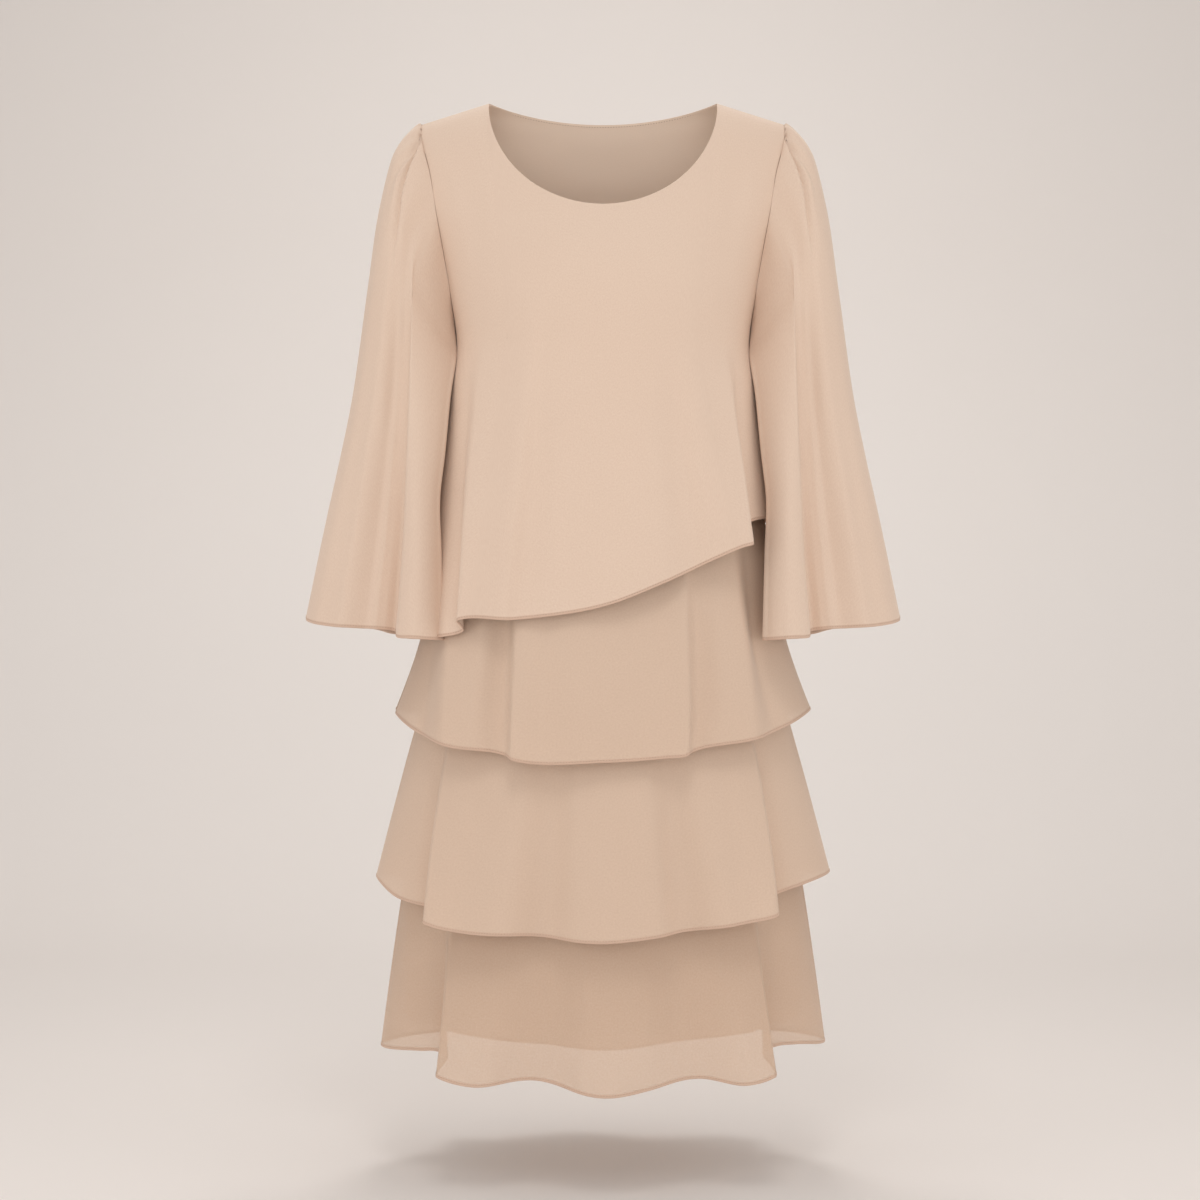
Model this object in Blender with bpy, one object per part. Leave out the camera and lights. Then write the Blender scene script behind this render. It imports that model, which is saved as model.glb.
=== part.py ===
"""Ruffle dress: a hollow, worn-shape chiffon dress with a slanted overlay, flared sleeves and three tiers.

Sizes are in millimetres. The origin is the middle of the shoulder line, where the wearer carries the
dress: z is up, the front faces -Y and the viewer's right is +X. Surfaces below are the cloth's outer face.
"""

import math
from bisect import bisect_right
from collections import namedtuple

import bmesh
import bpy
from mathutils import Vector

MM = 0.001
WALL = 1.2  # cloth thickness in the solids
SEAM = 0.3  # gap between two sewn pieces
LINING_INSET = 2.3  # the slip's outer face behind the overlay's
TIER_GAP = 1.3  # the tiers' seams off the slip, whose runs are longer than theirs
FRONT, BACK = -1, 1

# Neckline and shoulders
NECK_HALF = 118.0
NECK_HEIGHT = 11.0
SHOULDER_TIP = 187.5
TIP_HEIGHT = -11.0
SCOOPS = {FRONT: (117.0, 1.0), BACK: (17.0, 2.0)}  # depth, and how soon the curve rises to the sides
UNDERARM = 243.0
ROUNDING = 12.0  # drop over which the shoulders round into the front and back
LINING_DROP = 1.2  # the slip's shoulders lie this many insets lower

# The torso's side, by depth below the origin: the panel's cut edge, and the half width that the
# section would have if it closed, which is wider than the edge along the armhole.
Side = namedtuple("Side", "below edge wrap power")
YOKE_SIDE = (
    Side(11, 187.5, 212, 2.3), Side(30, 186, 211, 2.3), Side(66, 177, 201, 2.3), Side(100, 171.5, 190, 2.3),
    Side(140, 164.5, 171, 2.3), Side(190, 156.5, 158.5, 2.3), Side(UNDERARM, 151.2, 151.2, 2.3),
)
OVERLAY_SIDE = YOKE_SIDE + (
    Side(317, 158.5, 158.5, 2.3), Side(381, 166, 166, 2.2), Side(430, 173.5, 173.5, 2.2),
    Side(541, 193, 193, 2.1),
)
SLIP_SIDE = YOKE_SIDE + (
    Side(395, 150, 150, 2.15), Side(548, 172, 172, 2.0), Side(640, 185, 185, 1.9), Side(762, 199, 199, 1.8),
    Side(814, 205, 205, 1.75), Side(935, 208, 208, 1.7),
)

# How far the front and back stand off the seam plane, by drop below the shoulder seam.
Depth = namedtuple("Depth", "drop front back")
OVERLAY_DEPTH = (
    Depth(0, 0, 0), Depth(6, 16, 15), Depth(20, 33, 30), Depth(45, 50, 45), Depth(80, 66, 60),
    Depth(117, 81, 72), Depth(170, 102, 85), Depth(240, 116, 92), Depth(300, 119, 95),
    Depth(400, 126, 104), Depth(541, 140, 124),
)
SLIP_DEPTH = OVERLAY_DEPTH[:8] + (
    Depth(395, 104, 92), Depth(548, 116, 108), Depth(640, 123, 116), Depth(762, 127, 121),
    Depth(935, 131, 125),
)

# A fold corner: the front of a layer stands forward of its sides and folds back under itself there.
# share is where along the half width, out and fore are where its corner lies at the hem.
Corner = namedtuple("Corner", "share out fore soft")
# A hem's height below the origin, by place across from the left seam (-1) to the right seam (1).
Hem = namedtuple("Hem", "across below")
# A soft wave in the hem: positive depths stand forward.
Wave = namedtuple("Wave", "across spread depth")
# A layer's drape: how fast its folds grow downwards, how far its middle stands forward at the hem.
Drape = namedtuple("Drape", "grow crown left right hems waves")
# A tier: its seam's height on the slip and the plain oval of its hem.
Tier = namedtuple("Tier", "top half deep power flare drape")

OVERLAY_DRAPES = {
    FRONT: Drape(
        1.3, 142, Corner(0.71, 147, 128, 0.06), Corner(0.72, 158, 112, 0.06),
        (Hem(-1, 541), Hem(-0.79, 537), Hem(-0.7, 525), Hem(-0.4, 520), Hem(0, 510), Hem(0.28, 487),
         Hem(0.5, 465), Hem(0.64, 452), Hem(0.72, 446), Hem(0.8, 433), Hem(1, 419)),
        (Wave(-0.4, 0.26, 5), Wave(0.1, 0.32, 6), Wave(0.5, 0.22, -4)),
    ),
    BACK: Drape(
        1.3, 124, Corner(0.7, 140, 108, 0.08), Corner(0.7, 142, 98, 0.08),
        (Hem(-1, 541), Hem(-0.5, 532), Hem(0, 505), Hem(0.5, 466), Hem(1, 419)),
        (Wave(-0.35, 0.29, 5), Wave(0.3, 0.29, 5)),
    ),
}
SLIP_DRAPES = {
    side: Drape(
        4.0, 136, Corner(0.75, 152, 92, 0.1), Corner(0.75, 155, 92, 0.1),
        (Hem(-1, 932), Hem(-0.5, 938), Hem(0, 944), Hem(0.5, 937), Hem(1, 931)),
        (Wave(-0.5, 0.22, 4), Wave(-0.25, 0.22, -7), Wave(0.02, 0.26, 6), Wave(0.35, 0.22, -8)),
    )
    for side in (FRONT, BACK)
}
TIERS = {
    "tier_1_front": Tier(395, 215, 140, 2.0, 1.36, Drape(
        1.3, 152, Corner(0.76, 165, 112, 0.06), Corner(0.75, 166, 110, 0.05),
        (Hem(-1, 620), Hem(-0.9, 634), Hem(-0.72, 648), Hem(-0.5, 655), Hem(0, 662), Hem(0.3, 658),
         Hem(0.5, 649), Hem(0.72, 641), Hem(0.88, 629), Hem(1, 616)),
        (Wave(-0.44, 0.16, 6), Wave(-0.1, 0.2, 3), Wave(0.42, 0.16, 7)))),
    "tier_1_back": Tier(395, 215, 128, 2.0, 1.36, Drape(
        1.3, 138, Corner(0.76, 160, 100, 0.06), Corner(0.76, 160, 100, 0.06),
        (Hem(-1, 617), Hem(-0.7, 640), Hem(0, 656), Hem(0.7, 640), Hem(1, 616)),
        (Wave(-0.4, 0.2, 7), Wave(0.1, 0.22, -5), Wave(0.5, 0.2, 6)))),
    "tier_2_front": Tier(576, 235, 142, 1.8, 0.92, Drape(
        1.5, 164, Corner(0.72, 184, 134, 0.05), Corner(0.71, 180, 136, 0.05),
        (Hem(-1, 789), Hem(-0.9, 804), Hem(-0.76, 812), Hem(-0.7, 820), Hem(-0.6, 827), Hem(-0.3, 831), Hem(0, 836),
         Hem(0.3, 828), Hem(0.55, 820), Hem(0.7, 811), Hem(0.77, 797), Hem(0.86, 791), Hem(1, 784)),
        (Wave(-0.46, 0.16, 4), Wave(-0.24, 0.16, -9), Wave(0.02, 0.2, 6), Wave(0.36, 0.16, -9)))),
    "tier_2_back": Tier(576, 235, 136, 1.8, 0.92, Drape(
        1.5, 152, Corner(0.72, 172, 122, 0.06), Corner(0.72, 172, 122, 0.06),
        (Hem(-1, 789), Hem(-0.7, 812), Hem(0, 830), Hem(0.7, 808), Hem(1, 784)),
        (Wave(-0.5, 0.16, -7), Wave(-0.2, 0.2, 8), Wave(0.25, 0.2, -8), Wave(0.55, 0.16, 6)))),
    "tier_3_front": Tier(752, 230, 139, 1.75, 0.85, Drape(
        1.6, 166, Corner(0.66, 170, 148, 0.04), Corner(0.68, 177, 148, 0.04),
        (Hem(-1, 964), Hem(-0.8, 957), Hem(-0.71, 956), Hem(-0.64, 968), Hem(-0.5, 976), Hem(-0.27, 972), Hem(0, 984),
         Hem(0.36, 971), Hem(0.54, 975), Hem(0.66, 967), Hem(0.73, 953), Hem(0.84, 952), Hem(1, 960)),
        (Wave(-0.5, 0.16, 5), Wave(-0.27, 0.2, -15), Wave(0.02, 0.2, 9), Wave(0.36, 0.2, -15),
         Wave(0.55, 0.15, 4)))),
    "tier_3_back": Tier(752, 230, 135, 1.75, 0.85, Drape(
        1.6, 158, Corner(0.68, 166, 134, 0.05), Corner(0.68, 168, 134, 0.05),
        (Hem(-1, 964), Hem(-0.6, 966), Hem(0, 974), Hem(0.6, 965), Hem(1, 960)),
        (Wave(-0.46, 0.16, -12), Wave(-0.14, 0.21, 8), Wave(0.2, 0.2, -13), Wave(0.5, 0.16, 6)))),
}

# The sleeve's sections from the armhole down: its outermost and innermost points and half depths.
Section = namedtuple("Section", "along outer outer_below inner inner_below front back")
SLEEVE = (
    Section(0.00, 189.0, 11, 153.0, 243, 38, 38), Section(0.04, 198, 15, 154.6, 247, 42, 41),
    Section(0.10, 214, 37, 157.5, 254, 46, 43), Section(0.20, 231, 96, 160, 268, 50, 46),
    Section(0.33, 243.5, 180, 164, 297, 54, 48), Section(0.50, 259, 290, 173, 357, 58, 50),
    Section(0.75, 286, 417, 190, 453, 62, 53), Section(1.00, 308, 522, 206, 543, 66, 56),
)
# The front lobe that hangs forward of the rest of the sleeve, in degrees from the outer edge round
# the front, with its two hem corners.
LOBE_START, LOBE_END, LOBE_SOFT = 112.0, 170.0, 8.0
LOBE_OUTER = Vector((212.0, -92.0))
LOBE_INNER = Vector((156.0, -104.0))
LOBE_BULGE = 6.0
LOBE_DROP = 5.0
LOBE_GROW = 1.4
GATHERS = 4  # at the sleeve head
GATHER_DEPTH = 2.2
GATHER_REACH = 40.0  # degrees each side of the shoulder point
GATHER_PEAK, GATHER_END = 0.04, 0.24

CHIFFON = (0.74, 0.58, 0.44)
LINING = (0.7, 0.55, 0.42)

NECK_COLUMNS, SHOULDER_COLUMNS = 5, 7
YOKE_ROWS = 6
OVERLAY_ROWS = tuple(1 + i / 7 for i in range(8))
SLIP_ROWS = (1, 1.11, 1.219, 1.34, 1.479, 1.6, 1.732, 1.86, 2)  # one at each tier's seam
TIER_COLUMNS, TIER_ROWS = 26, 6
SLEEVE_COLUMNS = 18
SLEEVE_ROWS = (0, 0.04, 0.09, 0.15, 0.23, 0.33, 0.45, 0.58, 0.71, 0.84, 1.0)


def between(rows, at, column):
    """A column of a table as a smooth curve through its rows, level past the ends."""
    places = [row[0] for row in rows]
    values = [getattr(row, column) for row in rows]
    at = min(max(at, places[0]), places[-1])
    i = min(bisect_right(places, at) - 1, len(places) - 2)
    slopes = [(b - a) / (q - p) for a, b, p, q in zip(values, values[1:], places, places[1:])]

    def tangent(k):
        near = slopes[max(k - 1, 0):k + 1]
        return sum(near) / len(near)

    step = places[i + 1] - places[i]
    t = (at - places[i]) / step
    return (
        values[i] * (1 + 2 * t) * (1 - t) ** 2
        + values[i + 1] * t * t * (3 - 2 * t)
        + step * t * (1 - t) * (tangent(i) * (1 - t) - tangent(i + 1) * t)
    )


def mix(a, b, share):
    return a + (b - a) * share


def smooth(x):
    x = min(max(x, 0.0), 1.0)
    return x * x * (3 - 2 * x)


def bump(x):
    return math.cos(min(abs(x), 1.0) * math.pi / 2) ** 2


def oval(share, power):
    """Depth of a superellipse at a share of its half width."""
    return max(1 - abs(share) ** power, 0.0) ** (1 / power)


def folded(share, plain, drape, grow):
    """A layer's section point: its plain side, blended into the front apron that folds over it."""
    corner = drape.left if share < 0 else drape.right
    apron = smooth((corner.share + corner.soft - abs(share)) / (2 * corner.soft)) * grow
    place = abs(share) / corner.share
    out = math.copysign(corner.out * place, share)
    fore = mix(drape.crown, corner.fore, min(place, 1.2) ** 2)
    fore += sum(wave.depth * bump((share - wave.across) / wave.spread) for wave in drape.waves)
    return mix(plain, Vector((out, fore)), apron)


def top_edge(turn, side):
    """The panel's top: |turn| under 1 runs round the neckline, 1 to 2 along the shoulder seam."""
    if abs(turn) <= 1:
        angle = turn * math.pi / 2
        scoop, rise = SCOOPS[side]
        return NECK_HALF * math.sin(angle), NECK_HEIGHT - scoop * abs(math.cos(angle)) ** rise
    along = math.sin((abs(turn) - 1) * math.pi / 2)
    x = mix(NECK_HALF, SHOULDER_TIP, along)
    return math.copysign(x, turn), mix(NECK_HEIGHT, TIP_HEIGHT, along)


def layer_point(side, share, z, layer):
    """A bodice layer's section at height z: share is -1 at its left edge and 1 at its right one."""
    sides, depths, drape, inset = layer
    x = share * between(sides, -z, "edge")
    wrap = between(sides, -z, "wrap") - inset
    seam = mix(NECK_HEIGHT, TIP_HEIGHT, max(abs(x) - NECK_HALF, 0) / (SHOULDER_TIP - NECK_HALF))
    drop = max(seam - LINING_DROP * inset - z, 0)
    depth = between(depths, drop, "front" if side == FRONT else "back")
    depth = max(depth - inset * smooth(drop / ROUNDING), 0)
    plain = Vector((x * (1 - inset / wrap * smooth(drop / UNDERARM)), depth * oval(x / wrap, between(sides, -z, "power"))))
    hem = between(drape.hems, share, "below")
    grow = max((-z - UNDERARM) / (hem - UNDERARM), 0) ** drape.grow
    return folded(share, plain, drape, grow)


def torso_point(side, turn, down, layer):
    """A point of a bodice panel; down is 0 at the top edge, 1 at the underarm line and 2 at the hem."""
    sides, _, drape, inset = layer
    x, top = top_edge(turn, side)
    share = x / between(sides, -top, "edge")
    top -= LINING_DROP * inset
    z = mix(top, -UNDERARM, down)
    if down > 1:
        z = mix(-UNDERARM, -between(drape.hems, share, "below"), down - 1)
    point = layer_point(side, share, z, layer)
    return Vector((point.x, side * max(point.y, SEAM / 2), z))


def tier_point(side, turn, down, tier):
    """A point of a tier: turn is -1 at the left side seam and 1 at the right, down is 1 at the hem."""
    angle = turn * math.pi / 2
    round_off = max(math.cos(angle), 0.0) ** (2 / tier.power)
    share = math.copysign(abs(math.sin(angle)) ** (2 / tier.power), turn)
    seat = layer_point(side, share, -tier.top, slip_layer(side))
    seat += Vector((share, round_off)).normalized() * (WALL + TIER_GAP)
    hem = Vector((tier.half * share, tier.deep * round_off))
    flare = down ** tier.flare
    plain = Vector((mix(seat.x, hem.x, flare), mix(seat.y, hem.y, down)))
    point = folded(share, plain, tier.drape, down ** tier.drape.grow)
    z = mix(-tier.top, -between(tier.drape.hems, share, "below"), down)
    return Vector((point.x, side * max(point.y, SEAM / 2), z))


def armhole(fraction, rows):
    """The armhole's front edge as the panel's own straight runs, from shoulder point to underarm."""
    place = fraction * (len(rows) - 1)
    i = min(int(place), len(rows) - 2)
    return rows[i].lerp(rows[i + 1], place - i)


def sleeve_point(angle, along, front_edge, back_edge):
    """A point of the right sleeve: angle 0 is its outer edge, 90 the front and 180 the inner side."""
    turn = math.radians(angle)
    outer = Vector((between(SLEEVE, along, "outer"), 0, -between(SLEEVE, along, "outer_below")))
    inner = Vector((between(SLEEVE, along, "inner"), 0, -between(SLEEVE, along, "inner_below")))
    point = (outer + inner) / 2 + (outer - inner) / 2 * math.cos(turn)
    side = "front" if angle <= 180 else "back"
    point.y = -between(SLEEVE, along, side) * math.sin(turn)
    if LOBE_START - LOBE_SOFT < angle < LOBE_END + LOBE_SOFT:
        share = smooth((angle - LOBE_START) / (2 * LOBE_SOFT) + 0.5)
        share *= smooth((LOBE_END - angle) / (2 * LOBE_SOFT) + 0.5)
        place = (angle - LOBE_START) / (LOBE_END - LOBE_START)
        lobe = LOBE_OUTER.lerp(LOBE_INNER, place)
        lobe.y -= LOBE_BULGE * math.sin(min(max(place, 0), 1) * math.pi)
        share *= along ** LOBE_GROW
        point = Vector((mix(point.x, lobe.x, share), mix(point.y, lobe.y, share), point.z - LOBE_DROP * share))
    off = min(angle, 360 - angle) / GATHER_REACH
    if off < 1:
        lift = smooth(along / GATHER_PEAK) * (1 - smooth((along - GATHER_PEAK) / (GATHER_END - GATHER_PEAK)))
        wave = math.cos(angle / GATHER_REACH * GATHERS * math.pi)
        point += Vector((0.6, 0, 0.8)) * (GATHER_DEPTH * wave * lift * bump(off))
    edge = armhole(min(angle, 360 - angle) / 180, front_edge if angle <= 180 else back_edge)
    edge = edge + Vector((SEAM + WALL / 2, 0, 0))
    return edge.lerp(point, smooth(along / 0.12))


def evenly(curve, start, end, count):
    """Places along a curve that share its length out evenly."""
    fine = [mix(start, end, i / 400) for i in range(401)]
    points = [curve(place) for place in fine]
    lengths = [0.0]
    for a, b in zip(points, points[1:]):
        lengths.append(lengths[-1] + (b - a).length)
    wanted = [lengths[-1] * i / count for i in range(count + 1)]
    places = []
    for length in wanted:
        i = min(max(bisect_right(lengths, length) - 1, 0), 399)
        share = (length - lengths[i]) / (lengths[i + 1] - lengths[i])
        places.append(mix(fine[i], fine[i + 1], share))
    return places


def cloth(name, grid, material, collection, side=0, ring=False):
    """A wall from a grid of outer-face points, its rows running down and its columns left to right
    as seen from outside. side keeps a panel on its own side of the seam plane."""
    form = bmesh.new()
    verts = [[form.verts.new(point * MM) for point in row] for row in grid]
    for upper, lower in zip(verts, verts[1:]):
        last = len(upper) if ring else len(upper) - 1
        for i in range(last):
            j = (i + 1) % len(upper)
            form.faces.new((upper[i], lower[i], lower[j], upper[j]))
    form.normal_update()
    bmesh.ops.solidify(form, geom=form.faces[:], thickness=WALL * MM)
    if side:
        for vert in form.verts:
            vert.co.y = side * max(side * vert.co.y, SEAM / 2 * MM)
    bmesh.ops.recalc_face_normals(form, faces=form.faces[:])
    mesh = bpy.data.meshes.new(name)
    form.to_mesh(mesh)
    form.free()
    mesh.shade_smooth()
    mesh.set_sharp_from_angle(angle=math.radians(50))
    mesh.materials.append(material)
    piece = bpy.data.objects.new(name, mesh)
    collection.objects.link(piece)
    return piece


def fabric(name, colour, alpha=1.0):
    material = bpy.data.materials.new(name)
    material.use_nodes = True
    shader = material.node_tree.nodes["Principled BSDF"]
    shader.inputs["Base Color"].default_value = (*colour, 1.0)
    shader.inputs["Roughness"].default_value = 0.75
    shader.inputs["Metallic"].default_value = 0.0
    shader.inputs["Sheen Weight"].default_value = 0.3
    shader.inputs["Alpha"].default_value = alpha
    return material


def overlay_layer(side):
    return OVERLAY_SIDE, OVERLAY_DEPTH, OVERLAY_DRAPES[side], 0.0


def slip_layer(side):
    return SLIP_SIDE, SLIP_DEPTH, SLIP_DRAPES[side], LINING_INSET


def panel_grid(side, layer, body_rows):
    turns = [-1 - i / SHOULDER_COLUMNS for i in range(SHOULDER_COLUMNS, 0, -1)]
    turns += [i / NECK_COLUMNS for i in range(-NECK_COLUMNS, NECK_COLUMNS + 1)]
    turns += [1 + i / SHOULDER_COLUMNS for i in range(1, SHOULDER_COLUMNS + 1)]
    downs = [(i / YOKE_ROWS) ** 1.5 for i in range(YOKE_ROWS)]
    downs += body_rows
    if side == BACK:
        turns.reverse()
    return [[torso_point(side, turn, down, layer) for turn in turns] for down in downs]


def tier_grid(side, tier):
    turns = evenly(lambda turn: tier_point(side, turn, 1.0, tier), -1.0, 1.0, TIER_COLUMNS)
    if side == BACK:
        turns.reverse()
    return [[tier_point(side, turn, row / TIER_ROWS, tier) for turn in turns] for row in range(TIER_ROWS + 1)]


def sleeve_grid(hand, edges):
    """hand is 1 for the viewer's right sleeve and -1 for the left one, its mirror image."""
    head = GATHER_REACH / (2 * GATHERS)
    angles = [head * i % 360 for i in range(-2 * GATHERS, 2 * GATHERS + 1)]
    rest = evenly(
        lambda angle: sleeve_point(angle, 1.0, *edges), GATHER_REACH, 360 - GATHER_REACH, SLEEVE_COLUMNS
    )
    angles += rest[1:-1]
    if hand > 0:
        angles.reverse()
    rows = [[sleeve_point(angle, along, *edges) for angle in angles] for along in SLEEVE_ROWS]
    return [[Vector((hand * point.x, point.y, point.z)) for point in row] for row in rows]


def main():
    for thing in list(bpy.data.objects):
        bpy.data.objects.remove(thing)
    dress = bpy.data.collections.new("ruffle dress")
    bpy.context.scene.collection.children.link(dress)

    fronts = panel_grid(FRONT, overlay_layer(FRONT), OVERLAY_ROWS)
    backs = panel_grid(BACK, overlay_layer(BACK), OVERLAY_ROWS)
    cloth("overlay_front", fronts, fabric("overlay front chiffon", CHIFFON), dress, FRONT)
    cloth("overlay_back", backs, fabric("overlay back chiffon", CHIFFON), dress, BACK)
    for end, side in (("front", FRONT), ("back", BACK)):
        lining = fabric(f"slip {end} lining", LINING)
        cloth(f"slip_{end}", panel_grid(side, slip_layer(side), SLIP_ROWS), lining, dress, side)
    for name, tier in TIERS.items():
        side = FRONT if name.endswith("front") else BACK
        cloth(name, tier_grid(side, tier), fabric(name + " chiffon", CHIFFON, 0.9), dress, side)

    armhole_rows = YOKE_ROWS + 1
    edges = [row[-1] for row in fronts[:armhole_rows]], [row[0] for row in backs[:armhole_rows]]
    for end, hand in (("left", -1), ("right", 1)):
        material = fabric(f"sleeve {end} chiffon", CHIFFON)
        cloth(f"sleeve_{end}", sleeve_grid(hand, edges), material, dress, ring=True)


main()
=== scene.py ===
import math
from collections import namedtuple

import bpy
import numpy as np
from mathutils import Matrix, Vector


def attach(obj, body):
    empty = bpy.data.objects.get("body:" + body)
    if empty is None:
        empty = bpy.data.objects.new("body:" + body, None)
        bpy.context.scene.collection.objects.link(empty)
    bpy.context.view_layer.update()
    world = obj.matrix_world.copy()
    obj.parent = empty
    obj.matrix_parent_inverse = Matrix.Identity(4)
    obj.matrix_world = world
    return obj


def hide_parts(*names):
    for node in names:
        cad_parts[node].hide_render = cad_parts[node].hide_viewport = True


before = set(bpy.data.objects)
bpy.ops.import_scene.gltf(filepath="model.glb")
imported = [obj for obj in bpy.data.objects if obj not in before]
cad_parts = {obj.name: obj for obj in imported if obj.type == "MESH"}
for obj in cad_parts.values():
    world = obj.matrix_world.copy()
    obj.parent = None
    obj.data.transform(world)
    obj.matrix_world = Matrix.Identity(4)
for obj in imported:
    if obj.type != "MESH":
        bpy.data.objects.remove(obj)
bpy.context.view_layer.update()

# The slip is the lining that carries the dress: a front and a back of plain woven cloth, cut to the body
# line and sewn at the shoulders and sides. The overlay, the sleeves and the tiers are sewn on over it.

FRONT, BACK = -1, 1
MM = 0.001  # every size in these tables is in millimetres
SEAM = 0.3
NECK_HALF, NECK_HEIGHT = 118.0, 11.0
SHOULDER_TIP, TIP_HEIGHT = 187.5, -11.0
NECK_SCOOP = {FRONT: (117.0, 1.0), BACK: (17.0, 2.0)}
UNDERARM = 243.0
SHOULDER_ROUNDING = 12.0
NECK_BAND = 14.0  # below the neck, over this much, the slip falls back from the overlay
SLIP_INSET, SLIP_NECK_INSET = 2.3, 0.9
SLIP_DROP = 1.0
SLIP_ROWS_APART, SLIP_COLUMNS = 9.0, 110

Side = namedtuple("Side", "below edge wrap power")
YOKE_SIDE = (
    Side(11, 187.5, 212, 2.3), Side(30, 186, 211, 2.3), Side(66, 177, 201, 2.3), Side(100, 171.5, 190, 2.3),
    Side(140, 164.5, 171, 2.3), Side(190, 156.5, 158.5, 2.3), Side(UNDERARM, 151.2, 151.2, 2.3),
)
SLIP_SIDE = YOKE_SIDE + (
    Side(395, 150, 150, 2.15), Side(548, 172, 172, 2.0), Side(640, 185, 185, 1.9), Side(762, 199, 199, 1.8),
    Side(814, 205, 205, 1.75), Side(935, 208, 208, 1.7),
)
Depth = namedtuple("Depth", "drop front back")
OVERLAY_DEPTH = (
    Depth(0, 0, 0), Depth(6, 16, 15), Depth(20, 33, 30), Depth(45, 50, 45), Depth(80, 66, 60),
    Depth(117, 81, 72), Depth(170, 102, 85), Depth(240, 116, 92), Depth(300, 119, 95),
    Depth(400, 126, 104), Depth(541, 140, 124),
)
SLIP_DEPTH = OVERLAY_DEPTH[:8] + (
    Depth(395, 104, 92), Depth(548, 116, 108), Depth(640, 123, 116), Depth(762, 127, 121),
    Depth(935, 131, 125),
)
Corner = namedtuple("Corner", "share out fore soft lean tuck")
Hem = namedtuple("Hem", "across below")
Wave = namedtuple("Wave", "across spread depth")
Crease = namedtuple("Crease", "across lean left right top foot depth")
Drape = namedtuple("Drape", "grow crown left right hems waves creases")
Layer = namedtuple("Layer", "sides depths drape")
SLIP = Layer(SLIP_SIDE, SLIP_DEPTH, Drape(
    4.0, 136, Corner(0.75, 154, 92, 0.04, 0, 4), Corner(0.75, 156, 92, 0.04, 0, 4),
    (Hem(-1, 932), Hem(-0.5, 938), Hem(0, 944), Hem(0.5, 937), Hem(1, 931)),
    (Wave(-0.5, 0.22, 4), Wave(-0.25, 0.22, -7), Wave(0.02, 0.26, 6), Wave(0.35, 0.22, -8)),
    ()))


def course(rows, at, column):
    """A column of a table as a smooth curve through its rows, level past the ends."""
    places = np.array([row[0] for row in rows], float)
    values = np.array([getattr(row, column) for row in rows], float)
    at = np.clip(at, places[0], places[-1])
    i = np.clip(np.searchsorted(places, at, side="right") - 1, 0, len(places) - 2)
    slopes = np.diff(values) / np.diff(places)
    tangents = np.concatenate([slopes[:1], (slopes[:-1] + slopes[1:]) / 2, slopes[-1:]])
    step = places[i + 1] - places[i]
    t = (at - places[i]) / step
    held = values[i] * (1 + 2 * t) * (1 - t) ** 2 + values[i + 1] * t * t * (3 - 2 * t)
    return held + step * t * (1 - t) * (tangents[i] * (1 - t) - tangents[i + 1] * t)


def mix(a, b, share):
    return a + (b - a) * share


def smooth(x):
    x = np.clip(x, 0, 1)
    return x * x * (3 - 2 * x)


def bump(x):
    return np.cos(np.clip(np.abs(x), 0, 1) * math.pi / 2) ** 2


APRON_END, TUCK_SPREAD = 1.2, 1.6  # in shares of the corner's place and of its softness


def folded(share, x, y, drape, grow):
    """A layer's plain section drawn into the front apron, which folds back under itself at its corners."""
    at, out, fore, soft, lean, tuck = (
        np.where(share < 0, left, right) for left, right in zip(drape.left, drape.right))
    at = at + lean * (1 - grow)
    apron = smooth((at + soft - np.abs(share)) / (2 * soft)) * grow
    x = x - np.sign(share) * tuck * bump((np.abs(share) - at - soft) / (TUCK_SPREAD * soft)) * grow
    place = np.abs(share) / at
    fore = mix(drape.crown, fore, np.minimum(place, APRON_END) ** 2)
    for wave in drape.waves:
        fore = fore + wave.depth * bump((share - wave.across) / wave.spread)
    return mix(x, np.sign(share) * out * place, apron), mix(y, fore, apron)


CREASE_RISE, CREASE_END, CREASE_FADE = 0.5, 1.25, 0.25  # in shares of the way from its top to its foot


def creased(share, below, creases):
    """How far the soft troughs and ridges move the cloth out, each with its own steepness at either side."""
    total = 0 * (share + below)
    for crease in creases:
        along = (below - crease.top) / (crease.foot - crease.top)
        off = share - crease.across - crease.lean * along
        spread = np.where(off < 0, crease.left, crease.right)
        rise, fade = smooth(along / CREASE_RISE), smooth((CREASE_END - along) / CREASE_FADE)
        total = total + crease.depth * bump(off / spread) * rise * fade
    return total


def top_edge(side, turn):
    """The panel's top: |turn| under 1 runs round the neckline, 1 to 2 along the shoulder seam."""
    angle = np.clip(np.abs(turn), 0, 1) * math.pi / 2
    scoop, rise = NECK_SCOOP[side]
    along = np.sin(np.clip(np.abs(turn) - 1, 0, 1) * math.pi / 2)
    x = NECK_HALF * np.sin(angle) + (SHOULDER_TIP - NECK_HALF) * along
    z = NECK_HEIGHT - scoop * np.abs(np.cos(angle)) ** rise + (TIP_HEIGHT - NECK_HEIGHT) * along
    return np.sign(turn) * x, z


SHOULDER_INSET = 1.2  # how far under the shoulder seam an inner layer starts, for each 1 mm that it is inset


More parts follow.
